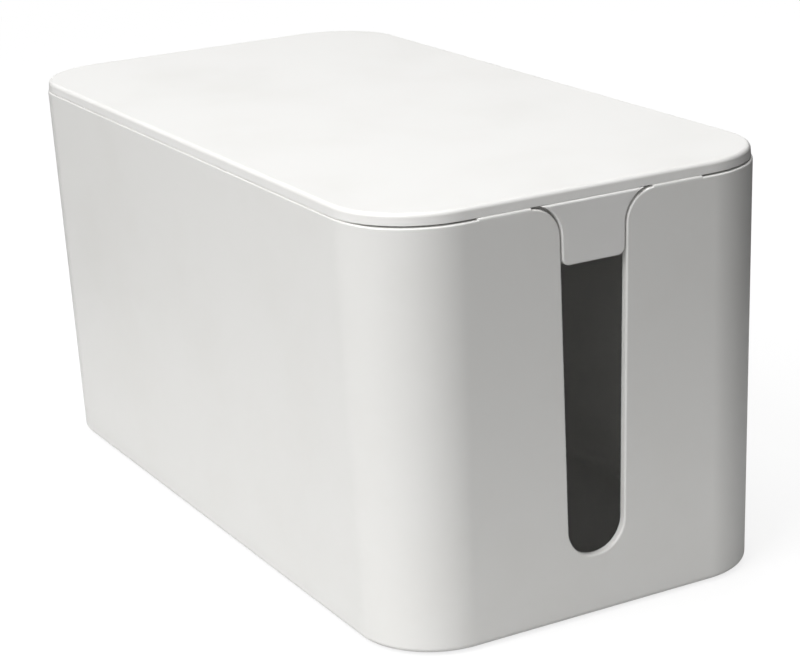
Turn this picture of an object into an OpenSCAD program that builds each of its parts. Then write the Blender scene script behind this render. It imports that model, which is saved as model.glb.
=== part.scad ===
// Cable management box: an open-topped box with a cable slot in each end and a
// loose lid whose two tongues close the tops of the slots.
// The origin is on the standing surface under the middle of the box.
// +X runs along the length, +Y across the width and +Z up.

/* [Overall] */
// Length over the lid and the rim
box_l = 235; // [180:5:420]
// Width over the lid and the rim
box_w = 121; // [100:1:200]
// Height from the standing surface to the top of the lid
box_h = 116; // [80:1:180]
// Radius of the upright corners at the rim
corner_r = 24; // [14:1:32]
// Draft of the four sides, in degrees, which makes the base smaller than the rim
draft = 1.15; // [0.5:0.05:2]

/* [Walls] */
// Thickness of the side walls
wall = 2.2; // [1.6:0.1:3.2]
// Thickness of the floor
floor_t = 2.5; // [2:0.1:4]
// Radius of the outer edge round the base
base_edge_r = 1.6; // [0.6:0.1:3]
// Radius where the walls meet the floor inside
inner_base_r = 3; // [1:0.5:6]
// Radius of the outer edges of the rim, the slots and the tongues
edge_r = 0.8; // [0.4:0.1:1.2]

/* [Lid] */
// Height of the band that shows round the lid
lid_band = 3; // [2.6:0.1:5]
// Thickness of the lid's top plate
lid_t = 2.2; // [1.6:0.1:2.5]
// Radius of the lid's top edge
lid_edge_r = 2; // [1:0.1:2.4]
// Shadow gap between the lid and the rim, and the height of the four lands
lid_gap = 0.8; // [0.4:0.1:1.5]
// Depth of the locating skirt below the band
skirt_h = 5; // [3:0.5:8]
// Thickness of the locating skirt
skirt_t = 1.6; // [1.2:0.1:2.5]
// Gap between the skirt and the walls
skirt_clear = 0.4; // [0.3:0.05:0.8]

/* [Cable slots] */
// Height of the lowest point of a slot above the standing surface
slot_bottom = 16.8; // [10:0.2:30]
// Radius of a slot's round bottom
slot_r = 8.4; // [6:0.2:12]
// Angle by which each side of a slot leans out towards the top
slot_taper = 0.9; // [0:0.1:2]
// Radius of the rounded corners where a slot runs out into the rim
flare_r = 8.8; // [5:0.2:12]
// Distance from the middle of an end to the outer end of each land
land_end = 31; // [28:0.5:34]

/* [Tongues] */
// Height of a tongue below the lid's band
tongue_h = 16.4; // [12:0.2:26]
// Gap between a tongue and the sides of its slot
tongue_clear = 0.6; // [0.3:0.05:1]
// Radius of a tongue's bottom corners
tongue_corner_r = 2.2; // [1.2:0.1:4]
// Height of the narrow neck where the groove above a tongue ends
neck_h = 0.15; // [0.1:0.05:0.4]
// Width of the web that joins a tongue to the skirt behind it
web_w = 12; // [6:1:14]

/* [Feet] */
// Diameter of the rubber feet
foot_d = 12; // [8:0.5:18]
// Thickness of the rubber feet
foot_t = 1.6; // [1.2:0.1:3]
// Height of the box above the standing surface, which the feet give it
foot_proud = 0.6; // [0.4:0.1:1]
// Gap round a foot in its recess
foot_clear = 0.3; // [0.1:0.05:0.6]
// Chamfer of a foot's lower edge
foot_chamfer = 0.3; // [0.1:0.1:0.4]
// Distance from the outline at the rim to the middle of each foot
foot_inset = 24; // [22:1:30]

/* [Hidden] */
$fn = 96;

shell_white = [0.93, 0.93, 0.92];
lid_white = [0.96, 0.96, 0.95];
foot_grey = [0.75, 0.75, 0.73];

over = 0.5;                            // how far cutters run past a face
lap = 0.01;                            // how far a round reaches over the straight edges it joins
turn_on = 6;                           // angle by which a cutter turns on past the end of a round
half_l = box_l / 2;
half_w = box_w / 2;
z_base = foot_proud;
z_land = box_h - lid_band;             // the lid rests at this height
z_wall_top = z_land - wall * sin(draft);  // a land touches the lid along its inner edge
z_rim = z_land - lid_gap;
z_floor = z_base + floor_t;
z_skirt = z_land - skirt_h;
z_under = box_h - lid_t;
wall_level = wall / cos(draft);        // wall thickness measured level
skirt_out = wall_level + skirt_clear;  // outline to the skirt's outer face
skirt_in = skirt_out + skirt_t;

// The slot's outline lies in the plane of the end wall: y across, v up the wall,
// with v = 0 at the lands. Each outline point below is on the +y side.
function leaning(angle) = [cos(angle), -sin(angle)];
arc_c = [0, slot_r - (z_wall_top - slot_bottom) / cos(draft)];
side_n = leaning(slot_taper);
side_low = arc_c + slot_r * side_n;
function side_point(v, inset) =
    [side_low.x + (v - side_low.y) * tan(slot_taper) - inset / cos(slot_taper), v];
flare_c = side_point(-flare_r, -flare_r);

// The tongue's outline follows the slot's at a distance of tongue_clear
tongue_flare_r = flare_r + tongue_clear;
tongue_side_high = flare_c - tongue_flare_r * side_n;
tongue_corner_c = side_point(tongue_corner_r - tongue_h, tongue_clear + tongue_corner_r);
tongue_side_low = tongue_corner_c + tongue_corner_r * side_n;
inner_tip = [tongue_side_high.x - 1, over];  // where the flares join the middle

// Points on the +y side, followed by their mirror images in the opposite order
function there_and_back(points) =
    concat(points, [for (i = [len(points) - 1:-1:0]) [-points[i].x, points[i].y]]);

// Distance of a side's outer face from the outline at height z, negative inwards
function drafted(z) = (z - z_land) * tan(draft);

// ---- Rounding ----

// What rounding takes off one corner of a profile: c is the middle of the round,
// t1 and t2 are where it meets the two sides, and tip is just past the corner.
module corner_waste(c, t1, tip, t2, r) {
    difference() {
        polygon([c, t1, tip, t2]);
        translate(c) circle(r);
    }
}

// The same for the top corner of a side that leans out by the draft
module top_waste(corner, r, lean = draft) {
    c = corner - [r * (1 + sin(lean)) / cos(lean), r];
    corner_waste(c, c + r * leaning(lean), corner + [over, over], [c.x, corner.y], r);
}

// The same for the bottom corner of such a side
module base_waste(corner, r) {
    c = corner + [-r * (1 - sin(draft)) / cos(draft), r];
    corner_waste(c, c + r * leaning(draft), corner + [over, -over], [c.x, corner.y], r);
}

// What rounding takes off the outer edge of an end wall: x into the material
// from the edge, y out of the wall
module edge_waste() {
    corner_waste([edge_r, -edge_r], [edge_r, 0], [-over, over], [0, -edge_r], edge_r);
}

// Sweeps a cutter's profile along a straight edge from p to q, with the material
// on its left
module along_line(p, q) {
    run = q - p;
    translate(p)
        rotate([0, 0, atan2(run.y, run.x)])
        rotate([90, 0, 90])
        linear_extrude(norm(run))
        children();
}

// Sweeps it along an arc whose material is outside it
module along_arc(c, r, start, sweep) {
    translate(c)
        rotate([0, 0, start])
        rotate_extrude(angle = sweep)
        translate([r, 0])
        children();
}

// Sweeps it along an arc whose material is inside it
module along_corner(c, r, start, sweep) {
    along_arc(c, r, start, sweep) mirror([1, 0]) children();
}

// ---- Sweeping round the outline ----

// Sweeps a profile round the outline: x is the distance outwards from the
// outline at the rim, and y is the height. It turns about fixed corner axes, so
// a side that leans in gives a corner whose radius shrinks with it.
module sweep_round() {
    run_l = 2 * (half_l - corner_r);
    run_w = 2 * (half_w - corner_r);
    for (mx = [0, 1], my = [0, 1])
        mirror([mx, 0, 0])
        mirror([0, my, 0])
        translate([half_l - corner_r, half_w - corner_r, 0])
        rotate_extrude(angle = 90)
        translate([corner_r, 0])
        children();
    for (my = [0, 1])
        mirror([0, my, 0])
        translate([-run_l / 2, half_w, 0])
        rotate([90, 0, 90])
        linear_extrude(run_l)
        children();
    for (mx = [0, 1])
        mirror([mx, 0, 0])
        translate([half_l, run_w / 2, 0])
        rotate([90, 0, 0])
        linear_extrude(run_w)
        children();
}

// A solid block: the swept profile reaches in to the corner axes, and this
// fills what lies between them
module block(z0, z1) {
    sweep_round() children();
    translate([corner_r - half_l, corner_r - half_w, z0])
        cube([box_l - 2 * corner_r, box_w - 2 * corner_r, z1 - z0]);
}

// Profile of a block between two heights, with its side at x0 below and x1 above
module side_profile(z0, z1, x0, x1) {
    polygon([[-corner_r, z0], [x0, z0], [x1, z1], [-corner_r, z1]]);
}

// Puts children on both end walls: x out of the wall, y across it, z up it
module at_ends() {
    for (mx = [0, 1])
        mirror([mx, 0, 0])
        translate([half_l + drafted(z_wall_top), 0, z_wall_top])
        rotate([0, draft, 0])
        children();
}

// Turns the outline's plane upright, so that its normal points out of the wall
module on_wall() {
    rotate([90, 0, 90]) children();
}

module both_sides() {
    children();
    mirror([1, 0, 0]) children();
}

// ---- Box ----

module outer_form() {
    block(z_base, z_rim)
        difference() {
            side_profile(z_base, z_rim, drafted(z_base), drafted(z_rim));
            top_waste([drafted(z_rim), z_rim], edge_r);
            base_waste([drafted(z_base), z_base], base_edge_r);
        }
}

module cavity_form() {
    top = box_h;
    block(z_floor, top)
        difference() {
            side_profile(z_floor, top, drafted(z_floor) - wall_level, drafted(top) - wall_level);
            base_waste([drafted(z_floor) - wall_level, z_floor], inner_base_r);
        }
}

// The raised stretch of an end wall that carries the lid on both sides of a slot
module land_bar() {
    depth = 2 * flare_r;
    translate([0, land_end, 0])
        rotate([90, 0, 0])
        linear_extrude(2 * land_end)
        difference() {
            translate([-wall - over, -depth]) square([wall + over, depth]);
            top_waste([0, 0], edge_r, 0);
        }
}

// The two corners that widen an outline at the top, each round the same centre
module opening(side_high, r) {
    both_sides() corner_waste(flare_c, side_high, inner_tip, flare_c + [0, r], r);
}

module slot_outline() {
    flare = flare_r + lap;
    translate(arc_c) circle(slot_r + lap);
    polygon(there_and_back([side_low, side_point(over, 0)]));
    opening(flare_c - flare * side_n, flare);
}

// Rounds the outer edge of a slot. Each cutter runs on past the end of its edge,
// into what the next one clears.
module slot_rounding() {
    along_arc(arc_c, slot_r + lap, 180 + slot_taper - turn_on, 180 - 2 * (slot_taper - turn_on))
        edge_waste();
    both_sides() {
        along_line(side_point(-flare_r / 2, 0), side_low) edge_waste();
        along_corner(flare_c, flare_r + lap, 90, 90 - slot_taper) edge_waste();
    }
}

module slot_cut() {
    on_wall() {
        translate([0, 0, -3 * wall]) linear_extrude(6 * wall) slot_outline();
        slot_rounding();
    }
}

module foot_places() {
    for (sx = [-1, 1], sy = [-1, 1])
        translate([sx * (half_l - foot_inset), sy * (half_w - foot_inset), 0]) children();
}

module box_body() {
    color(shell_white)
        difference() {
            union() {
                outer_form();
                at_ends() land_bar();
            }
            cavity_form();
            at_ends() slot_cut();
            foot_places() cylinder(h = foot_t, d = foot_d + 2 * foot_clear);
        }
}

// ---- Lid ----

module lid_form() {
    skirt_top = z_land + over;
    block(z_land, box_h)
        difference() {
            side_profile(z_land, box_h, 0, 0);
            top_waste([0, box_h], lid_edge_r, 0);
        }
    block(z_skirt, skirt_top)
        side_profile(z_skirt, skirt_top, drafted(z_skirt) - skirt_out, drafted(skirt_top) - skirt_out);
}

module lid_hollow() {
    low = z_skirt - over;
    block(low, z_under)
        side_profile(low, z_under, drafted(low) - skirt_in, drafted(z_under) - skirt_in);
}

module tongue_outline() {
    flare = tongue_flare_r + lap;
    below = [tongue_corner_c.x, -tongue_h];
    polygon(there_and_back([below, tongue_corner_c, tongue_side_low, side_point(over, tongue_clear)]));
    both_sides() translate(tongue_corner_c) circle(tongue_corner_r + lap);
    opening(flare_c - flare * side_n, flare);
}

// Rounds the outer edge of a tongue, from one flare round the bottom to the other
module tongue_rounding() {
    past = tongue_corner_c.x + tongue_corner_r;
    along_line([-past, -tongue_h], [past, -tongue_h]) edge_waste();
    both_sides() {
        along_corner(tongue_corner_c, tongue_corner_r + lap, 270, 90 - slot_taper) edge_waste();
        along_line(side_point(-tongue_h, tongue_clear), tongue_side_high) edge_waste();
        along_arc(flare_c, tongue_flare_r + lap, 90, 90 - slot_taper + turn_on) edge_waste();
    }
}

// Takes the shoulder off the top of a tongue, which leaves the groove under the band
module shoulder_waste() {
    corner = [half_l + drafted(z_land - neck_h), z_land - neck_h];
    c = corner - [edge_r * (1 + sin(draft)) / cos(draft), edge_r];
    for (mx = [0, 1])
        mirror([mx, 0, 0])
        translate([0, flare_c.x, 0])
        rotate([90, 0, 0])
        linear_extrude(2 * flare_c.x)
        difference() {
            polygon([
                c,
                c + edge_r * leaning(draft),
                [half_l + over, c.y + over],
                [half_l + over, z_land + 2 * over],
                [c.x, z_land + 2 * over]
            ]);
            translate(c) circle(edge_r);
        }
}

module tongues() {
    web_t = skirt_clear + skirt_t / 2;
    difference() {
        at_ends()
            on_wall()
            difference() {
                translate([0, 0, -wall]) linear_extrude(wall) tongue_outline();
                tongue_rounding();
            }
        shoulder_waste();
    }
    at_ends()
        translate([-wall - web_t, -web_w / 2, -skirt_h])
        cube([web_t + wall / 2, web_w, skirt_h + over]);
}

module lid() {
    color(lid_white) {
        difference() {
            lid_form();
            lid_hollow();
        }
        tongues();
    }
}

// ---- Feet ----

module foot(sx, sy) {
    r = foot_d / 2;
    color(foot_grey)
        translate([sx * (half_l - foot_inset), sy * (half_w - foot_inset), 0])
        rotate_extrude()
        polygon([[0, 0], [r - foot_chamfer, 0], [r, foot_chamfer], [r, foot_t], [0, foot_t]]);
}

box_body();
lid();
foot(1, -1);  // foot_front_left
foot(1, 1);  // foot_front_right
foot(-1, -1);  // foot_rear_left
foot(-1, 1);  // foot_rear_right
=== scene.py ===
# %% [markdown]
# # A cable management box in white moulded plastic
# The object is a box and a loose lid, each moulded in one piece, on four rubber
# feet. Nothing on it is decorated, so all of its looks come from clean outlines,
# small even rounds that catch the light, and a satin surface. This lesson loads
# the measured model, models each piece again with fine, smooth surfaces, and
# gives each one a procedural finish.

# %% Load the measured model
from math import acos, atan2, cos, degrees, pi, radians, sin, sqrt, tan

import bmesh
import bpy
from mathutils import Matrix, Vector


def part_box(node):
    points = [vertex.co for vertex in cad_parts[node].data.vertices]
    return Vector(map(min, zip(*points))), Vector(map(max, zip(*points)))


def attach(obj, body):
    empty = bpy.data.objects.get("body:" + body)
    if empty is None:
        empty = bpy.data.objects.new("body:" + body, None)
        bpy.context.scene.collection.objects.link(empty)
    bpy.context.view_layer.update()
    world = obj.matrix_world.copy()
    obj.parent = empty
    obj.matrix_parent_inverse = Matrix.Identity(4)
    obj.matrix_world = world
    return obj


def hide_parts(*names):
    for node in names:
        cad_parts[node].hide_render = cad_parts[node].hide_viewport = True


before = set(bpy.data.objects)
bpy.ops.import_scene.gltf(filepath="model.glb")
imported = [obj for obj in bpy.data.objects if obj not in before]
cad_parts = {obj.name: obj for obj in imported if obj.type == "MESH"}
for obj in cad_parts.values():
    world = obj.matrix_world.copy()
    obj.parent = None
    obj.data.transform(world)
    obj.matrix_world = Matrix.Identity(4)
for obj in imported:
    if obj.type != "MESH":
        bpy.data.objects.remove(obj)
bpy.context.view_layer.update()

MM = 0.001                    # Blender's unit here is the metre

print("loaded pieces:", sorted(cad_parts))

# %% [markdown]
# ## Sizes
# The big sizes are read from the measured model, so that the pieces below can't
# drift away from it. The small ones, such as rounds and clearances, are those of
# the real mouldings. Everything is in metres, and MM turns millimetres into them.

# %% Sizes that the pieces share
body_low, body_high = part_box("box_body")
_, lid_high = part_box("lid")

HALF_LENGTH = lid_high.x
HALF_WIDTH = lid_high.y
TOP = lid_high.z
LAND = body_high.z            # the lid rests on the box at this height
BASE = body_low.z             # underside of the box, which the feet hold off the ground
CORNER_R = 24 * MM
DRAFT = radians(1.15)         # each side leans out by this much
WALL = 2.2 * MM
WALL_IN = WALL / cos(DRAFT)   # from the outer to the inner face of a wall, measured level
FLOOR = BASE + 2.5 * MM
RIM = LAND - 0.5 * MM         # the rim of the ends and corners lies a little below the lands
EDGE_R = 0.5 * MM             # rounded outer edges of the rim, the slots and the tongues
HAIR = 0.02 * MM              # far too small to see, but enough for two surfaces to cross


def drafted(height):
    """How far a side lies outside the rim's outline at this height, negative below it."""
    return (height - LAND) * tan(DRAFT)


def off_outline(point):
    """How far a point lies outside the box's outer face, negative inside it."""
    across = max(abs(point.x) - HALF_LENGTH + CORNER_R, 0)
    along = max(abs(point.y) - HALF_WIDTH + CORNER_R, 0)
    flat = max(abs(point.x) - HALF_LENGTH, abs(point.y) - HALF_WIDTH) + CORNER_R
    return (sqrt(across**2 + along**2) if flat > 0 else flat) - CORNER_R - drafted(point.z)


print("rim outline in mm:", round(2 * HALF_LENGTH / MM, 1), "by", round(2 * HALF_WIDTH / MM, 1))

# %% [markdown]
# ## Camera
# The camera comes first, because it decides which details matter. It looks down
# a little at the near corner, through a long lens from about 0.7 m away. Aiming it
# by three turns would hide which way is which. A camera looks along its own -Z, so
# the columns of its matrix are the directions to the right, upwards and backwards,
# and those can be worked out one after the other.

# %% Camera
PICTURE_WIDTH = 800
FOCAL_PIXELS = 2292           # focal length, in pixels of a picture that wide
SENSOR_WIDTH = 36
CAMERA_PLACE = Vector((573.5, -299.6, 255.1)) * MM
CAMERA_TURN = radians(61.85)
CAMERA_HEIGHT = radians(17.85)
CAMERA_ROLL = radians(-2.8)

backwards = Vector((sin(CAMERA_TURN), -cos(CAMERA_TURN), tan(CAMERA_HEIGHT))).normalized()
sideways = Vector((cos(CAMERA_TURN), sin(CAMERA_TURN), 0))
upright = backwards.cross(sideways)
to_right = cos(CAMERA_ROLL) * sideways + sin(CAMERA_ROLL) * upright
to_top = backwards.cross(to_right)
aim = Matrix((to_right, to_top, backwards)).transposed().to_4x4()

bpy.ops.object.camera_add()
camera = bpy.context.object
camera.name = "camera"
camera.matrix_world = Matrix.Translation(CAMERA_PLACE) @ aim
camera.data.sensor_width = SENSOR_WIDTH
camera.data.lens = FOCAL_PIXELS / PICTURE_WIDTH * SENSOR_WIDTH
camera.data.clip_start = 0.01
camera.data.clip_end = 50
bpy.context.scene.camera = camera
print("lens in mm:", round(camera.data.lens, 1))

# %% [markdown]
# ## A small language for shader maths
# A finish is a sum of patterns. Laid out as nodes, such a sum is long and hard to
# read, so one class wraps a socket and lets Python's own operators add the Math
# nodes. Every other kind of node comes from its one method, `node`.

# %% The class that wraps a socket
class Signal:
    """A value in a material. Sums and products of signals add Math nodes."""

    def __init__(self, tree, socket=None):
        self.tree = tree
        self.socket = socket

    def node(self, kind, settings=None, inputs=None, output=0):
        """Adds one node, sets it up, fills its inputs, and returns one of its outputs."""
        made = self.tree.nodes.new("ShaderNode" + kind)
        for name, value in (settings or {}).items():
            setattr(made, name, value)
        for name, value in (inputs or {}).items():
            if isinstance(value, Signal):
                self.tree.links.new(value.socket, made.inputs[name])
            else:
                made.inputs[name].default_value = value
        return Signal(self.tree, made.outputs[output] if made.outputs else None)

    def math(self, operation, *values):
        """One Math node on these values, or on this signal where none are given."""
        return self.node("Math", {"operation": operation}, dict(enumerate(values or (self,))))

    def __add__(self, other):
        return self.math("ADD", self, other)

    def __radd__(self, other):
        return self.math("ADD", other, self)

    def __sub__(self, other):
        return self.math("SUBTRACT", self, other)

    def __rsub__(self, other):
        return self.math("SUBTRACT", other, self)

    def __mul__(self, other):
        return self.math("MULTIPLY", self, other)

    def __rmul__(self, other):
        return self.math("MULTIPLY", other, self)

    def parts(self):
        """The x, y and z of a vector, from one node."""
        split = self.node("SeparateXYZ", {}, {"Vector": self}).socket.node
        return [Signal(self.tree, output) for output in split.outputs]

    def between(self, low, high):
        """A smooth step, 0 at low and 1 at high."""
        limits = {"Value": self, "From Min": low, "From Max": high}
        return self.node("MapRange", {"interpolation_type": "SMOOTHSTEP"}, limits)


print("methods of a signal:", [name for name in vars(Signal) if not name.startswith("_")])

# %% [markdown]
# ### Starting and ending a material, and mixing colours
# Each material starts from an empty tree and ends in one opaque surface. Colours
# go through a Mix node, because a Math node would turn them grey. Noise is read on
# object coordinates, which are metres here, so its scale is the number of lumps in
# a metre.

# %% Helpers that every finish uses
COLOUR_LOW, COLOUR_HIGH, COLOUR_OUT = 6, 7, 2    # a Mix node's sockets for colours
IOR = 1.5                     # of the plastic and the rubber alike


def new_material(name):
    """An empty material, and a signal through which its first nodes are added."""
    material = bpy.data.materials.new(name)
    material.use_nodes = True
    material.node_tree.nodes.clear()
    return material, Signal(material.node_tree)


def mix_colours(factor, low, high):
    """A colour that goes from low to high as the factor goes from 0 to 1."""
    ends = {0: factor, COLOUR_LOW: (*low, 1), COLOUR_HIGH: (*high, 1)}
    return factor.node("Mix", {"data_type": "RGBA"}, ends, COLOUR_OUT)


def noise(place, lumps, detail, roughness=0.5):
    """Soft noise between 0 and 1, with this many lumps to a metre."""
    sockets = {"Vector": place, "Scale": lumps, "Detail": detail, "Roughness": roughness}
    return place.node("TexNoise", {}, sockets)


def end_material(start, colour, roughness, relief):
    """Ends a material in a surface of this colour and roughness, with a relief in metres."""
    bump = start.node("Bump", {}, {"Strength": 1.0, "Distance": 1.0, "Height": relief})
    sockets = {"Base Color": colour, "Roughness": roughness, "Normal": bump, "IOR": IOR}
    start.node("OutputMaterial", {}, {"Surface": start.node("BsdfPrincipled", {}, sockets)})


print("materials before the first finish:", len(bpy.data.materials))

# %% [markdown]
# ### Satin white plastic
# The mouldings are white ABS from a finely etched mould: a satin skin, never
# quite flat, whose texture is a fraction of a millimetre wide. One even colour and
# roughness would look like paper, and a picture of the surface would have to be
# laid out on each piece. Noise of three sizes needs no layout: the etched skin, the
# slow waves that shrinkage leaves in a flat wall, and faint smudges from handling.
# The lid's outer edge, which hands rub, is a little smoother and a little duller
# than the rest.

# %% The plastic's patterns
SKIN_LUMPS = 1700             # the etched skin, about 0.6 mm from lump to lump
SKIN_DEPTH = 0.010 * MM
WAVE_LUMPS = 14
WAVE_DEPTH = 0.09 * MM
SMUDGE_LUMPS = 26

SATIN = 0.44                  # roughness before the patterns change it
SKIN_ROUGHENS = 0.05
SMUDGE_SMOOTHS = 0.05
RUB_SMOOTHS = 0.08
SMUDGE_DULLS = 0.5
RUB_DULLS = 0.5

RUB_IN, RUB_IN_FULL = 2.2 * MM, 0.3 * MM         # from the side in: where rubbing ends and is full
RUB_DOWN, RUB_DOWN_FULL = 2.4 * MM, 0.8 * MM     # from the top down: the same


def past(value, limit):
    """How far a value lies past a limit on either side of 0, and 0 before it."""
    beyond = value.math("ABSOLUTE") - limit
    return beyond.math("MAXIMUM", beyond, 0.0)


def rubbed_edge(place):
    """1 on the lid's outer edge, and 0 elsewhere."""
    x, y, z = place.parts()
    past_x = past(x, HALF_LENGTH - CORNER_R)
    past_y = past(y, HALF_WIDTH - CORNER_R)
    reach = (past_x * past_x + past_y * past_y).math("SQRT")
    near_side = reach.between(CORNER_R - RUB_IN, CORNER_R - RUB_IN_FULL)
    near_top = z.between(TOP - RUB_DOWN, TOP - RUB_DOWN_FULL)
    return near_side * near_top


def shell_plastic(name, colour, dull_colour):
    """White plastic with an etched skin, slow waves, smudges and a rubbed edge."""
    material, start = new_material(name)
    place = start.node("TexCoord", output="Object")
    skin = noise(place, SKIN_LUMPS, detail=3, roughness=0.6)
    waves = noise(place, WAVE_LUMPS, detail=1)
    smudges = noise(place, SMUDGE_LUMPS, detail=4, roughness=0.6).between(low=0.42, high=0.75)
    rubbed = rubbed_edge(place)
    tint = mix_colours(smudges * SMUDGE_DULLS + rubbed * RUB_DULLS, colour, dull_colour)
    rough = SATIN + skin * SKIN_ROUGHENS - smudges * SMUDGE_SMOOTHS - rubbed * RUB_SMOOTHS
    end_material(start, tint, rough, skin * SKIN_DEPTH + waves * WAVE_DEPTH)
    return material


body_white = shell_plastic("body_white", colour=(0.80, 0.795, 0.775), dull_colour=(0.765, 0.757, 0.73))
lid_white = shell_plastic("lid_white", colour=(0.81, 0.805, 0.79), dull_colour=(0.775, 0.768, 0.745))
print("plastic nodes:", len(body_white.node_tree.nodes))

# %% [markdown]
# ### Rubber
# The feet are soft grey rubber, which scatters light and picks up dust. It takes
# the plastic's recipe with other amounts: a finer and deeper grain, specks of dust
# in place of smudges, and a rougher surface all over.

# %% Rubber finish
GRAIN_LUMPS = 2600
GRAIN_DEPTH = 0.03 * MM
DUST_LUMPS = 320
RUBBER_ROUGH = 0.72
DUST_ROUGHENS = 0.15
RUBBER_GREY = (0.30, 0.30, 0.29)
DUSTY_GREY = (0.38, 0.375, 0.36)


def foot_rubber():
    """Grey rubber with a fine grain and specks of dust."""
    material, start = new_material("foot_rubber")
    place = start.node("TexCoord", output="Object")
    grain = noise(place, GRAIN_LUMPS, detail=3, roughness=0.6)
    dust = noise(place, DUST_LUMPS, detail=3, roughness=0.6).between(low=0.45, high=0.7)
    tint = mix_colours(dust, RUBBER_GREY, DUSTY_GREY)
    end_material(start, tint, RUBBER_ROUGH + dust * DUST_ROUGHENS, grain * GRAIN_DEPTH)
    return material


rubber = foot_rubber()
print("rubber nodes:", len(rubber.node_tree.nodes))

# %% [markdown]
# ## Working in edit mode from code
# Modelling by hand means picking faces or edges and giving them to a tool. Here a
# test picks them, by place or by direction, and the same tools follow. A tool acts
# on all that is selected, so each step first deselects everything, the loaded
# model included.

# %% Picking, and adding a shape at its size
def pick(kind, test):
    """In edit mode, selects the piece's VERT, EDGE or FACE items that pass the test."""
    bpy.ops.mesh.select_mode(type=kind)
    bpy.ops.mesh.select_all(action="DESELECT")
    mesh = bmesh.from_edit_mesh(bpy.context.object.data)
    items = {"VERT": mesh.verts, "EDGE": mesh.edges, "FACE": mesh.faces}[kind]
    chosen = [item for item in items if test(item)]
    for item in chosen:
        item.select_set(True)
    mesh.select_flush_mode()
    bmesh.update_edit_mesh(bpy.context.object.data)
    return len(chosen)


def middle(item):
    """The middle of an edge or a face."""
    return sum((corner.co for corner in item.verts), Vector()) / len(item.verts)


def both(edge, test):
    """Whether both ends of an edge pass the test."""
    return all(test(end.co) for end in edge.verts)


def add_sized(primitive, name, place, sides):
    """Adds a plane or a cube with its middle at this place and with sides of these lengths."""
    bpy.ops.object.select_all(action="DESELECT")
    primitive(size=1, location=place)
    piece = bpy.context.object
    piece.name = name
    piece.scale = sides
    bpy.ops.object.transform_apply(location=True, rotation=True, scale=True)
    return piece


print("selected before the first piece:", [item.name for item in bpy.context.selected_objects])

# %% [markdown]
# ## The outline, and skins grown from it
# Both mouldings have one outline: a rectangle with round corners. A cube with
# rounded edges comes near it, but large and small rounds then meet in its corners,
# and its sides don't lean. Here a plane gets its corners rounded by a bevel on its
# vertices, and a skin grows from that one face: each inset moves it inwards and
# along by one step of a profile, which keeps every step parallel to the outline,
# as a mould maker would cut it.

# %% Outline and profile tools
CORNER_STEPS = 28


def rounded_face(name, grow, height, ends=0):
    """A face on the outline, grown outwards, left in edit mode. Its ends may stand back."""
    sides = (2 * (HALF_LENGTH + grow - ends), 2 * (HALF_WIDTH + grow), 1)
    piece = add_sized(bpy.ops.mesh.primitive_plane_add, name, (0, 0, height), sides)
    bpy.ops.object.mode_set(mode="EDIT")
    bpy.ops.mesh.select_all(action="SELECT")
    bpy.ops.mesh.bevel(offset=CORNER_R + grow, segments=CORNER_STEPS, affect="VERTICES")
    bpy.ops.mesh.select_all(action="SELECT")
    return piece


def grow_skin(profile, facing):
    """Grows a rounded face that faces up (1) or down (-1) along (place outwards, height) points."""
    for (out, height), (next_out, next_height) in zip(profile, profile[1:]):
        bpy.ops.mesh.inset(thickness=out - next_out, depth=facing * (next_height - height))
    bpy.ops.object.mode_set(mode="OBJECT")


def arc(centre, radius, start, end, steps):
    """Points of a profile along an arc, with angles in radians from straight outwards."""
    angles = [start + (end - start) * step / steps for step in range(steps + 1)]
    return [(centre[0] + radius * cos(angle), centre[1] + radius * sin(angle)) for angle in angles]


def base_round(out, height, radius):
    """The round between a leaning side and the level face at its foot."""
    centre = (out - radius * (1 - sin(DRAFT)) / cos(DRAFT), height + radius)
    return arc(centre, radius, -DRAFT, -pi / 2, steps=8)


def weld(piece, other):
    """Joins two skins that share an edge into one closed piece."""
    bpy.ops.object.select_all(action="DESELECT")
    other.select_set(True)
    piece.select_set(True)
    bpy.context.view_layer.objects.active = piece
    bpy.ops.object.join()
    bpy.ops.object.mode_set(mode="EDIT")
    bpy.ops.mesh.select_all(action="SELECT")
    bpy.ops.mesh.remove_doubles(threshold=HAIR / 10)
    bpy.ops.mesh.normals_make_consistent(inside=False)
    bpy.ops.object.mode_set(mode="OBJECT")
    return piece


print("a corner turns", round(degrees(pi / 2) / CORNER_STEPS, 1), "degrees from face to face")

# %% [markdown]
# ## The box
# The real box is one moulding. A Solidify modifier could give it a wall, but its
# floor is thicker than its sides, and the round inside is larger than the one
# outside. So it has two skins. The outer one grows down from the rim to the
# underside, the inner one grows down from the rim to the floor, and the two are
# welded along the rim's outer edge.

# %% Outer and inner skins
BASE_EDGE_R = 1.6 * MM
FLOOR_EDGE_R = 3 * MM

outer = rounded_face("box_shell", drafted(RIM), RIM)
bpy.ops.mesh.flip_normals()
grow_skin([(drafted(RIM), RIM)] + base_round(drafted(BASE), BASE, BASE_EDGE_R), -1)

inner = rounded_face("inner_skin", drafted(RIM), RIM)
inner_profile = [(drafted(RIM), RIM), (drafted(RIM) - WALL_IN, RIM)]
inner_profile += base_round(drafted(FLOOR) - WALL_IN, FLOOR, FLOOR_EDGE_R)
grow_skin(inner_profile, 1)

box_shell = weld(outer, inner)
print("box skins:", len(box_shell.data.polygons), "faces")

# %% [markdown]
# ### The rim's two levels
# Along its long sides the rim almost meets the lid, and at the ends it lies lower.
# It changes level within the first part of each corner, where the dark gap under
# the lid opens. A straight slope would show as two kinks. So the rim is lifted in
# many small steps, each of which reaches a little further round the corners than
# the last. Their reach follows a cosine, and the drop starts and ends gently.

# %% Raise the rim along the long sides
SIDE_RIM = LAND - 0.15 * MM
DROP_TURN = radians(42)       # the rim reaches its lower level this far round a corner
DROP_STEPS = 40


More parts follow.
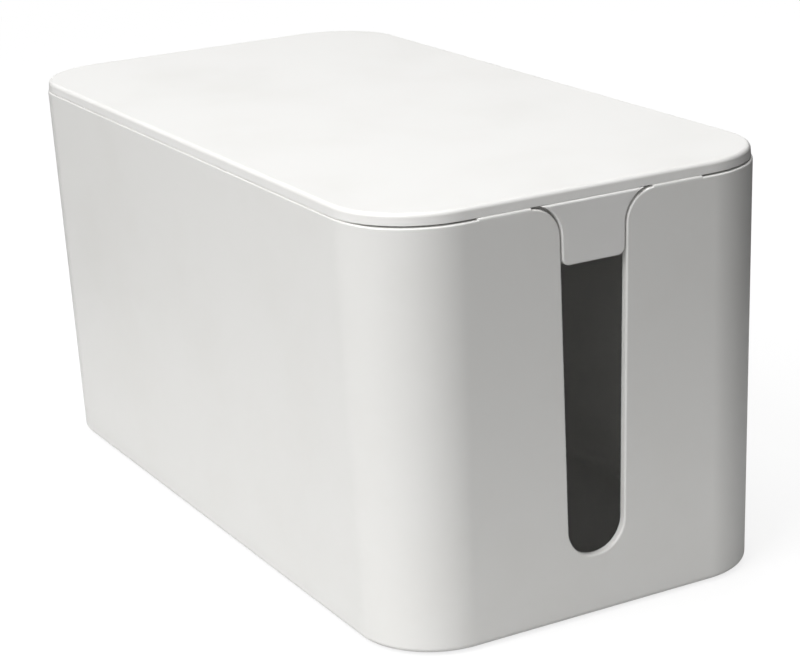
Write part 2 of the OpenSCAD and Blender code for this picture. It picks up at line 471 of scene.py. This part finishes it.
def corner_turn(point):
    """How far round its corner a point is, from 0 on the long sides."""
    across = max(abs(point.x) - HALF_LENGTH + CORNER_R, 0)
    return atan2(across, abs(point.y) - HALF_WIDTH + CORNER_R)


bpy.context.view_layer.objects.active = box_shell
bpy.ops.object.mode_set(mode="EDIT")
raised = []
for step in range(DROP_STEPS):
    last = DROP_TURN * acos(1 - (2 * step + 1) / DROP_STEPS) / pi
    raised.append(pick("VERT", lambda corner: corner.co.z > RIM - HAIR
                       and corner_turn(corner.co) < last))
    bpy.ops.transform.translate(value=(0, 0, (SIDE_RIM - RIM) / DROP_STEPS))
bpy.ops.object.mode_set(mode="OBJECT")
print("corners of the rim raised, from the first step to the last:", raised[0], "to", raised[-1])

# %% [markdown]
# ### Drawing on an end wall
# A slot and its tongue have one outline, less a gap, in a wall that leans. Built in
# place, every step would be at a slant. So they are drawn flat first, with x across
# the wall, y up it and the lands at y = 0, and are put on the wall afterwards by
# one matrix. The other end takes a copy, turned half round.

# %% The slot's sizes, and its place on an end wall
SLOT_LOW = -95.7 * MM         # lowest point of a slot, along the wall from the lands
SLOT_LEAN = radians(0.9)      # each side of a slot leans out by this much
SLOT_LOW_HALF = 8.42 * MM     # half of the slot's width down there, were its bottom square
SLOT_R = 8.4 * MM
FLARE_R = 8.25 * MM           # the corners where a slot runs out into the rim


def slot_half(height, gap=0):
    """Half of a slot's width at a height on the wall, less a gap at each side."""
    return SLOT_LOW_HALF + (height - SLOT_LOW) * tan(SLOT_LEAN) - gap / cos(SLOT_LEAN)


def on_end_wall(turn):
    """The matrix that puts a flat drawing on an end wall's outer face."""
    across = Vector((0, 1, 0))
    up = Vector((sin(DRAFT), 0, cos(DRAFT)))
    turned = Matrix((across, up, across.cross(up))).transposed().to_4x4()
    return Matrix.Rotation(turn, 4, "Z") @ Matrix.Translation((HALF_LENGTH, 0, LAND)) @ turned


print("width of a slot at the lands in mm:", round(2 * slot_half(0) / MM, 2))

# %% [markdown]
# ### The T that becomes a slot or a tongue
# Both outlines are a T: a stem that widens a little upwards, and a bar along its
# top. A plane is the stem, and extruded edges are the bar. Beveled corners then
# become the round bottom and the curves that run out into the rim. A bevel's offset
# is measured along the sides, so each radius is turned into that length first.

# %% Flat drawings
T_HALF = 22 * MM              # half of the length of a T's bar
BEND = 1 / tan((pi / 2 + SLOT_LEAN) / 2)    # from a bend's radius to how far it starts from its corner


def bend_corners(height, radius):
    """Rounds the stem's two corners at this height."""
    pick("VERT", lambda corner: abs(corner.co.y - height) < HAIR and abs(corner.co.x) < T_HALF - HAIR)
    bpy.ops.mesh.bevel(offset=radius * BEND, segments=24, affect="VERTICES")


def flat_t(name, low, shoulder, top, gap, low_r, flare_r):
    """A slot's outline less a gap, from its low end to the top of its bar, left in edit mode."""
    low_half, high_half = slot_half(low, gap), slot_half(shoulder, gap)
    piece = add_sized(bpy.ops.mesh.primitive_plane_add, name, (0, (low + shoulder) / 2, 0),
                      (2 * high_half, shoulder - low, 1))
    bpy.ops.object.mode_set(mode="EDIT")
    pick("VERT", lambda corner: corner.co.y < low + HAIR)
    bpy.ops.transform.resize(value=(low_half / high_half, 1, 1))
    pick("EDGE", lambda edge: middle(edge).y > shoulder - HAIR)
    bpy.ops.mesh.extrude_region_move(TRANSFORM_OT_translate={"value": (0, top - shoulder, 0)})
    for side in (-1, 1):
        pick("EDGE", lambda edge: middle(edge).y > shoulder + HAIR
             and middle(edge).x * side > high_half - HAIR)
        arm = side * (T_HALF - high_half)
        bpy.ops.mesh.extrude_region_move(TRANSFORM_OT_translate={"value": (arm, 0, 0)})
    bpy.ops.mesh.select_all(action="SELECT")
    bpy.ops.mesh.dissolve_limited(angle_limit=radians(0.1))
    bend_corners(low, low_r)
    bend_corners(shoulder, flare_r)
    return piece


def thicken(back, front):
    """Makes the flat drawing in edit mode a solid from back to front of the wall's face."""
    bpy.ops.mesh.select_all(action="SELECT")
    bpy.ops.transform.translate(value=(0, 0, back))
    bpy.ops.mesh.extrude_region_move(TRANSFORM_OT_translate={"value": (0, 0, front - back)})
    bpy.ops.mesh.select_all(action="SELECT")
    bpy.ops.mesh.normals_make_consistent(inside=False)
    bpy.ops.object.mode_set(mode="OBJECT")


print("a bend of 1 mm radius starts", round(BEND, 3), "mm from its corner")

# %% [markdown]
# ### Copying and combining
# Solids are cut and joined by booleans, applied at once, so that the next step
# works on real faces. What both ends share is made once, and each end takes a copy.

# %% Tools that copy, place and combine
def copy_of(piece):
    """A copy of a piece, with its own mesh."""
    copied = piece.copy()
    copied.data = piece.data.copy()
    bpy.context.collection.objects.link(copied)
    return copied


def place_by(piece, matrix):
    """Moves a piece by a matrix and makes that part of its mesh."""
    piece.matrix_world = matrix @ piece.matrix_world
    bpy.ops.object.select_all(action="DESELECT")
    piece.select_set(True)
    bpy.context.view_layer.objects.active = piece
    bpy.ops.object.transform_apply(location=True, rotation=True, scale=True)


def modify(piece, kind, **settings):
    """Adds a modifier to a piece and applies it at once."""
    modifier = piece.modifiers.new(kind.lower(), kind)
    for name, value in settings.items():
        setattr(modifier, name, value)
    bpy.context.view_layer.objects.active = piece
    bpy.ops.object.modifier_apply(modifier=modifier.name)


def combine(piece, operation, tool):
    """Cuts the tool from the piece, joins it on, or keeps what they share; the tool is used up."""
    modify(piece, "BOOLEAN", operation=operation, object=tool, solver="EXACT")
    bpy.data.objects.remove(tool)


def combine_ends(piece, operation, tool):
    """Combines a piece with a copy of a tool on each end wall; the tool is used up."""
    for turn in (0, pi):
        copied = copy_of(tool)
        place_by(copied, on_end_wall(turn))
        combine(piece, operation, copied)
    bpy.data.objects.remove(tool)


print("faces before the first cut:", len(box_shell.data.polygons))

# %% [markdown]
# ### Cable slots
# Leads run out through a slot in each end wall, which reaches from the rim most of
# the way down. Its outline could be drawn on both skins and bridged, but one cut
# with a solid of the outline, deeper than the wall is thick, opens both skins at
# once and leaves a clean side all round.

# %% Cut both slots
REACH = 3 * MM                # how far the cutter stands out of the wall and above the lands

slot_cutter = flat_t("slot_cutter", low=SLOT_LOW, shoulder=RIM - LAND + HAIR, top=REACH, gap=0,
                     low_r=SLOT_R - HAIR, flare_r=FLARE_R)
thicken(-2 * REACH, REACH)
combine_ends(box_shell, "DIFFERENCE", slot_cutter)
print("box with slots:", len(box_shell.data.polygons), "faces")

# %% [markdown]
# ### Rounded edges
# No edge of a moulding is sharp. The outer edge of the rim and the slots is one
# continuous round of 0.5 mm, which shows as a fine bright line, and the inner edge
# is only just broken. A Bevel modifier would round all sharp edges alike. So the
# two chains are picked by their place, on the outer or the inner face, and by the
# angle between their faces.

# %% Round the box's edges
SHARP = radians(35)
INNER_EDGE_R = 0.3 * MM
FOOT_OF_BOX = 10 * MM         # no edge below this height is picked


def round_edges(piece, radius, steps, test):
    """Rounds the sharp edges of a piece that pass the test."""
    bpy.context.view_layer.objects.active = piece
    bpy.ops.object.mode_set(mode="EDIT")
    rounded = pick("EDGE", lambda edge: edge.calc_face_angle(0) > SHARP and test(edge))
    bpy.ops.mesh.bevel(offset=radius, segments=steps, affect="EDGES")
    bpy.ops.object.mode_set(mode="OBJECT")
    return rounded


def lies(edge, off):
    """Whether an edge above the foot of the box lies this far outside the outline's face."""
    return middle(edge).z > FOOT_OF_BOX and both(edge, lambda end: abs(off_outline(end) - off) < HAIR)


outer_edges = round_edges(box_shell, EDGE_R, 6, lambda edge: lies(edge, 0))
inner_edges = round_edges(box_shell, INNER_EDGE_R, 3, lambda edge: lies(edge, -WALL_IN))
print("edges rounded outside and inside:", outer_edges, inner_edges)

# %% [markdown]
# ### The lands that carry the lid
# The lid doesn't touch the whole rim. On each side of a slot a land 15 mm long
# stands 0.5 mm higher than the rim, and beside the lands a narrow dark gap stays
# open under the lid. Such steep little steps could be part of the rim, but its
# round would then run over itself at each of them. So a pair of lands is a bar as
# thick as the wall, parted in the middle, rounded by itself and joined on. Its long
# edges are a little rounder than the rim's, and its ends are abrupt.

# %% The four lands
LAND_START = 17.9 * MM        # from the middle of an end to the inner end of a land
LAND_END = 32.8 * MM
LAND_TOP = -0.05 * MM         # along the wall, so that their leaning tops just meet the lid
LAND_DEPTH = 3 * MM           # their part inside the wall
LAND_EDGE_R = 0.65 * MM
LAND_END_R = 0.2 * MM


def bar(name, half_width, low, high, back, front):
    """A bar across an end wall, in the flat drawings' directions."""
    return add_sized(bpy.ops.mesh.primitive_cube_add, name, (0, (low + high) / 2, (back + front) / 2),
                     (2 * half_width, high - low, front - back))


def at_land_end(edge):
    """Whether an edge lies on the inner or the outer end of a land."""
    return any(both(edge, lambda end: abs(abs(end.x) - reach) < HAIR)
               for reach in (LAND_START, LAND_END))


lands = bar("lands", LAND_END, -LAND_DEPTH, LAND_TOP, HAIR - WALL, -HAIR)
combine(lands, "DIFFERENCE", bar("middle", LAND_START, -LAND_DEPTH - MM, MM, -WALL - MM, MM))
round_edges(lands, LAND_EDGE_R, 6, lambda edge: both(
    edge, lambda end: end.y > LAND_TOP - HAIR and end.z > -2 * HAIR))
round_edges(lands, INNER_EDGE_R, 3, lambda edge: both(
    edge, lambda end: end.y > LAND_TOP - HAIR and end.z < 2 * HAIR - WALL))
round_edges(lands, LAND_END_R, 2, at_land_end)
combine_ends(box_shell, "UNION", lands)
print("box with lands:", len(box_shell.data.polygons), "faces")

# %% [markdown]
# ### Seats for the feet
# Four shallow round seats in the underside hold the rubber feet. A cylinder cuts
# them, because each is a plain hole with a flat bottom. The measured model says
# where each foot is, and the cutter is its size with a small gap. Shading comes
# last: smooth over the rounds, and flat faces kept flat.

# %% Sink the feet's seats and shade the box
FOOT_NODES = sorted(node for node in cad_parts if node.startswith("foot_"))
FOOT_GAP = 0.3 * MM
FOOT_SIDES = 64


def foot_size(node):
    """The radius and height of a foot, and the point on the ground below its middle."""
    low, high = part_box(node)
    return (high.x - low.x) / 2, high.z, ((low.x + high.x) / 2, (low.y + high.y) / 2, 0)


def finish_shading(piece):
    """Smooth shading that leaves flat faces flat."""
    bpy.ops.object.select_all(action="DESELECT")
    piece.select_set(True)
    bpy.context.view_layer.objects.active = piece
    bpy.ops.object.shade_smooth_by_angle(angle=SHARP)
    modify(piece, "WEIGHTED_NORMAL", keep_sharp=True)


for node in FOOT_NODES:
    foot_r, foot_t, ground = foot_size(node)
    bpy.ops.object.select_all(action="DESELECT")
    bpy.ops.mesh.primitive_cylinder_add(vertices=FOOT_SIDES, radius=foot_r + FOOT_GAP, depth=2 * foot_t,
                                        location=ground)
    combine(box_shell, "DIFFERENCE", bpy.context.object)
finish_shading(box_shell)
print("finished box:", len(box_shell.data.polygons), "faces")

# %% [markdown]
# ## The lid
# The lid is the box's outline again: a flat plate with a rounded top edge, a
# shallow band round it, and underneath a skirt that drops inside the walls and
# keeps it in place. A skirt made by itself would leave a seam to hide, so again two
# skins grow from the outline and meet along the band's lower edge: plate and band
# outside, skirt and ceiling inside. The walls stand a little proud of the band, so
# that their rounded edge catches the light under it.

# %% Plate, band and skirt
LID_EDGE_R = 1.2 * MM
BAND_IN = 0.2 * MM            # the band starts this far behind the walls, which stand proud of it,
ENDS_IN = 0.35 * MM           # and its ends a little further
BAND_LEAN = radians(5)        # the band leans in from there
BAND_EDGE_R = 0.08 * MM
PLATE_LOW = TOP - 2.2 * MM    # underside of the plate
SKIRT_LOW = LAND - 5 * MM
SKIRT_IN = WALL_IN + 0.4 * MM    # from the outline in to the skirt
SKIRT_T = 1.6 * MM
SKIRT_EDGE_R = 0.4 * MM

plate = rounded_face("lid_shell", -BAND_IN, LAND, ENDS_IN)
turn_z = TOP - LID_EDGE_R * (1 - sin(BAND_LEAN))     # where the band turns into the round
turn_out = -BAND_IN - (turn_z - LAND) * tan(BAND_LEAN)
edge_centre = (turn_out - LID_EDGE_R * cos(BAND_LEAN), TOP - LID_EDGE_R)
grow_skin([(-BAND_IN, LAND)] + arc(edge_centre, LID_EDGE_R, BAND_LEAN, pi / 2, steps=10), 1)

skirt = rounded_face("lid_skirt", -BAND_IN, LAND, ENDS_IN)
skirt_out = drafted(SKIRT_LOW) - SKIRT_IN
round_z = SKIRT_LOW + SKIRT_EDGE_R
skirt_profile = [(-BAND_IN, LAND), (-SKIRT_IN, LAND)]
skirt_profile += arc((skirt_out - SKIRT_EDGE_R, round_z), SKIRT_EDGE_R, 0, -pi / 2, steps=3)
skirt_profile += arc((skirt_out - SKIRT_T + SKIRT_EDGE_R, round_z), SKIRT_EDGE_R, -pi / 2, -pi, steps=3)
skirt_profile += [(skirt_out - SKIRT_T, PLATE_LOW)]
grow_skin(skirt_profile, 1)

lid_shell = weld(plate, skirt)
band_edges = round_edges(lid_shell, BAND_EDGE_R, 2, lambda edge: abs(middle(edge).z - LAND) < HAIR
                         and off_outline(middle(edge)) > -WALL)
print("lid:", len(lid_shell.data.polygons), "faces,", band_edges, "edges rounded under the band")

# %% [markdown]
# ### Tongues
# From each end of the lid a tongue hangs down into the slot and closes its top,
# flush with the wall and 0.4 mm clear of it on each side. Its face is rounded all
# round, and the round along its top makes the fine groove under the band. The two
# kinds of round would meet badly in one bevel. Two solids give them apart: the
# outline with its front edge rounded, and a bar whose top edge is rounded. The
# tongue is what they share. A neck joins it to the band behind the groove, and a
# web joins it to the skirt.

# %% Model one tongue, and join a copy to each end of the lid
TONGUE_LOW = -16.4 * MM
TONGUE_TOP = -0.15 * MM       # the groove above it is this high at its inner end
TONGUE_GAP = 0.4 * MM
TONGUE_SHOULDER = 0.45 * MM   # its flares would meet a level edge here, inside the lid
TONGUE_FLARE_R = 8.9 * MM
TONGUE_CORNER_R = 2.2 * MM
SPARE = 2 * MM                # how far the outline and the bar reach past what they share
BAR_HALF = 20 * MM
JOIN_TOP = 0.5 * MM           # the neck and the web reach up into the band to here
NECK_HALF = 14 * MM
NECK_LOW = -0.2 * MM
WEB_HALF = 6 * MM
WEB_LOW = -4.5 * MM
WEB_BACK = -3.4 * MM          # inside the skirt
WEB_FRONT = -1.5 * MM         # inside the tongue

tongue = flat_t("tongue", low=TONGUE_LOW, shoulder=TONGUE_SHOULDER, top=SPARE, gap=TONGUE_GAP,
                low_r=TONGUE_CORNER_R, flare_r=TONGUE_FLARE_R)
thicken(-WALL, 0)
round_edges(tongue, EDGE_R, 6, lambda edge: both(edge, lambda end: end.z > -HAIR)
            and middle(edge).y < TONGUE_SHOULDER + HAIR)
top_bar = bar("top_bar", BAR_HALF, TONGUE_LOW - SPARE, TONGUE_TOP, -WALL - MM, HAIR / 4)
round_edges(top_bar, LAND_EDGE_R, 6, lambda edge: middle(edge).y > TONGUE_TOP - HAIR
            and middle(edge).z > 0)
combine(tongue, "INTERSECT", top_bar)
combine(tongue, "UNION", bar("neck", NECK_HALF, NECK_LOW, JOIN_TOP, HAIR - WALL, -LAND_EDGE_R))
combine(tongue, "UNION", bar("web", WEB_HALF, WEB_LOW, JOIN_TOP, WEB_BACK, WEB_FRONT))
combine_ends(lid_shell, "UNION", tongue)
finish_shading(lid_shell)
print("finished lid:", len(lid_shell.data.polygons), "faces")

# %% [markdown]
# ## The feet
# Each foot is a soft disc that stands a little proud of its seat. Its lower edge
# is rounded, and its underside has a shallow dish, where the moulded disc has drawn
# in. It could be a profile spun round an axis, but two insets and one bevel on a
# cylinder say the same in fewer steps. One foot is modelled, and each seat takes a
# copy.

# %% Four rubber feet
DISH_RIM = 0.45               # width of the flat ring under a foot, as a share of its radius,
DISH_SLOPE = 0.12             # and of the slope inside it
DISH_DEPTH = 0.12 * MM
FOOT_EDGE_R = 0.3 * MM

foot_r, foot_t, _ = foot_size(FOOT_NODES[0])
bpy.ops.object.select_all(action="DESELECT")
bpy.ops.mesh.primitive_cylinder_add(vertices=FOOT_SIDES, radius=foot_r, depth=foot_t,
                                    location=(0, 0, foot_t / 2))
first_foot = bpy.context.object
bpy.ops.object.transform_apply(location=True, rotation=True, scale=True)
bpy.ops.object.mode_set(mode="EDIT")
pick("FACE", lambda face: middle(face).z < HAIR)
bpy.ops.mesh.inset(thickness=foot_r * DISH_RIM, depth=0)
bpy.ops.mesh.inset(thickness=foot_r * DISH_SLOPE, depth=-DISH_DEPTH)
bpy.ops.object.mode_set(mode="OBJECT")
round_edges(first_foot, FOOT_EDGE_R, 4, lambda edge: both(
    edge, lambda end: end.z < HAIR and end.xy.length > foot_r - HAIR))

feet = []
for node in FOOT_NODES:
    foot = copy_of(first_foot)
    foot.name = "rubber_" + node
    place_by(foot, Matrix.Translation(foot_size(node)[2]))
    finish_shading(foot)
    feet.append(foot)
bpy.data.objects.remove(first_foot)
print("feet:", [foot.name for foot in feet])

# %% [markdown]
# ## Finishes, and what moves with what
# Each piece takes its finish and stands for a part of the measured model. The box
# and its feet stay still, and the lid lifts off.

# %% Give each piece its finish and its body
def hand_in(piece, finish, body, node):
    """Gives a piece its finish, the body it rides on, its material slot and the node it replaces."""
    piece.data.materials.clear()
    piece.data.materials.append(finish)
    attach(piece, body)
    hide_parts(node)


hand_in(box_shell, body_white, "box", "box_body")
hand_in(lid_shell, lid_white, "lid", "lid")
for foot, node in zip(feet, FOOT_NODES):
    hand_in(foot, rubber, "box", node)
print("pieces handed in:", 2 + len(feet))

# %% [markdown]
# ## Floor and background
# The product stands on a white sweep. A floor lit until it is white would throw
# too much light back on the product. So to the camera the floor is part lit
# surface, which keeps the soft shadow, and part plain white, and further out it is
# all white and runs into the white of the world without a line. To all other light
# it is grey under and round the product, and nearly black further out.

# %% White floor that keeps the object's shadow
FLOOR_REACH = 6.0
WHITE = (1, 1, 1, 1)
LIT_GREY = (0.22, 0.22, 0.22, 1)
PLAIN_WHITE = 0.80            # strength of the plain white over the lit grey
BOUNCE_GREY = (0.48, 0.48, 0.48)
BOUNCE_DARK = (0.05, 0.05, 0.05)

floor = add_sized(bpy.ops.mesh.primitive_plane_add, "studio_floor", (0, 0, 0),
                  (2 * FLOOR_REACH, 2 * FLOOR_REACH, 1))

floor_paint, start = new_material("floor_paint")
place = start.node("TexCoord", output="Object")
distance = place.node("VectorMath", {"operation": "LENGTH"}, {0: place}, 1)
far_away = distance.between(low=0.25, high=0.9)
to_camera = start.node("LightPath", output="Is Camera Ray")
bounce_tint = mix_colours(distance.between(low=0.20, high=0.30), BOUNCE_GREY, BOUNCE_DARK)
bounce = start.node("BsdfDiffuse", {}, {"Color": bounce_tint})
lit = start.node("BsdfDiffuse", {}, {"Color": LIT_GREY})
plain = start.node("Emission", {}, {"Color": WHITE, "Strength": PLAIN_WHITE})
all_white = start.node("Emission", {}, {"Color": WHITE, "Strength": 1.0})
near_floor = start.node("AddShader", {}, {0: lit, 1: plain})
seen = start.node("MixShader", {}, {0: far_away, 1: near_floor, 2: all_white})
surface = start.node("MixShader", {}, {0: to_camera, 1: bounce, 2: seen})
start.node("OutputMaterial", {}, {"Surface": surface})
floor.data.materials.append(floor_paint)
print("floor reaches", FLOOR_REACH, "m each way")

# %% [markdown]
# ## Light
# Four soft lamps light the product, as on a small photo table. The key, high on
# the left, makes the long side bright and leaves the end dimmer. An overhead lamp
# makes the lid the brightest face, a weak low fill softens the end, and a low lamp
# behind does the same for the far faces. Those last two leave no highlights.

# %% Soft lamps
LAMP_DISTANCE = 1.5
LAMP_SIZE = 1.0


def softbox(name, turn, height, power, glossy=True):
    """A square lamp aimed at the product. Angles are from -Y towards +X and up, in degrees."""
    level = cos(radians(height))
    towards = Vector((sin(radians(turn)) * level, -cos(radians(turn)) * level, sin(radians(height))))
    bpy.ops.object.light_add(type="AREA", location=towards * LAMP_DISTANCE)
    lamp = bpy.context.object
    lamp.name = name
    lamp.rotation_euler = towards.to_track_quat("Z", "Y").to_euler()
    lamp.data.size = LAMP_SIZE
    lamp.data.energy = power
    lamp.visible_glossy = glossy
    return lamp


lamps = [
    softbox("key_light", turn=14, height=45, power=17.5),
    softbox("overhead_light", turn=0, height=88, power=12.3),
    softbox("fill_light", turn=50, height=12, power=7, glossy=False),
    softbox("back_light", turn=235, height=10, power=12, glossy=False),
]
print("lamps:", [lamp.name for lamp in lamps])

# %% [markdown]
# ### The world
# The world behind the product is white, and it adds a little light from all round.
# A world bright enough to look white would wash out the shading. So only the camera
# sees it white, and everything else gets a tenth of that. Nothing here is metal or
# glass, so no reflection needs the white.

# %% A world that is white to the camera alone
AMBIENT = 0.10

world = bpy.data.worlds.new("studio")
world.use_nodes = True
world.node_tree.nodes.clear()
bpy.context.scene.world = world
start = Signal(world.node_tree)
to_camera = start.node("LightPath", output="Is Camera Ray")
ambient = start.node("Background", {}, {"Color": WHITE, "Strength": AMBIENT})
backdrop = start.node("Background", {}, {"Color": WHITE, "Strength": 1.0})
sky = start.node("MixShader", {}, {0: to_camera, 1: ambient, 2: backdrop})
start.node("OutputWorld", {}, {"Surface": sky})
bpy.context.scene.view_settings.view_transform = "Standard"
print("light from all round:", AMBIENT)

# %% [markdown]
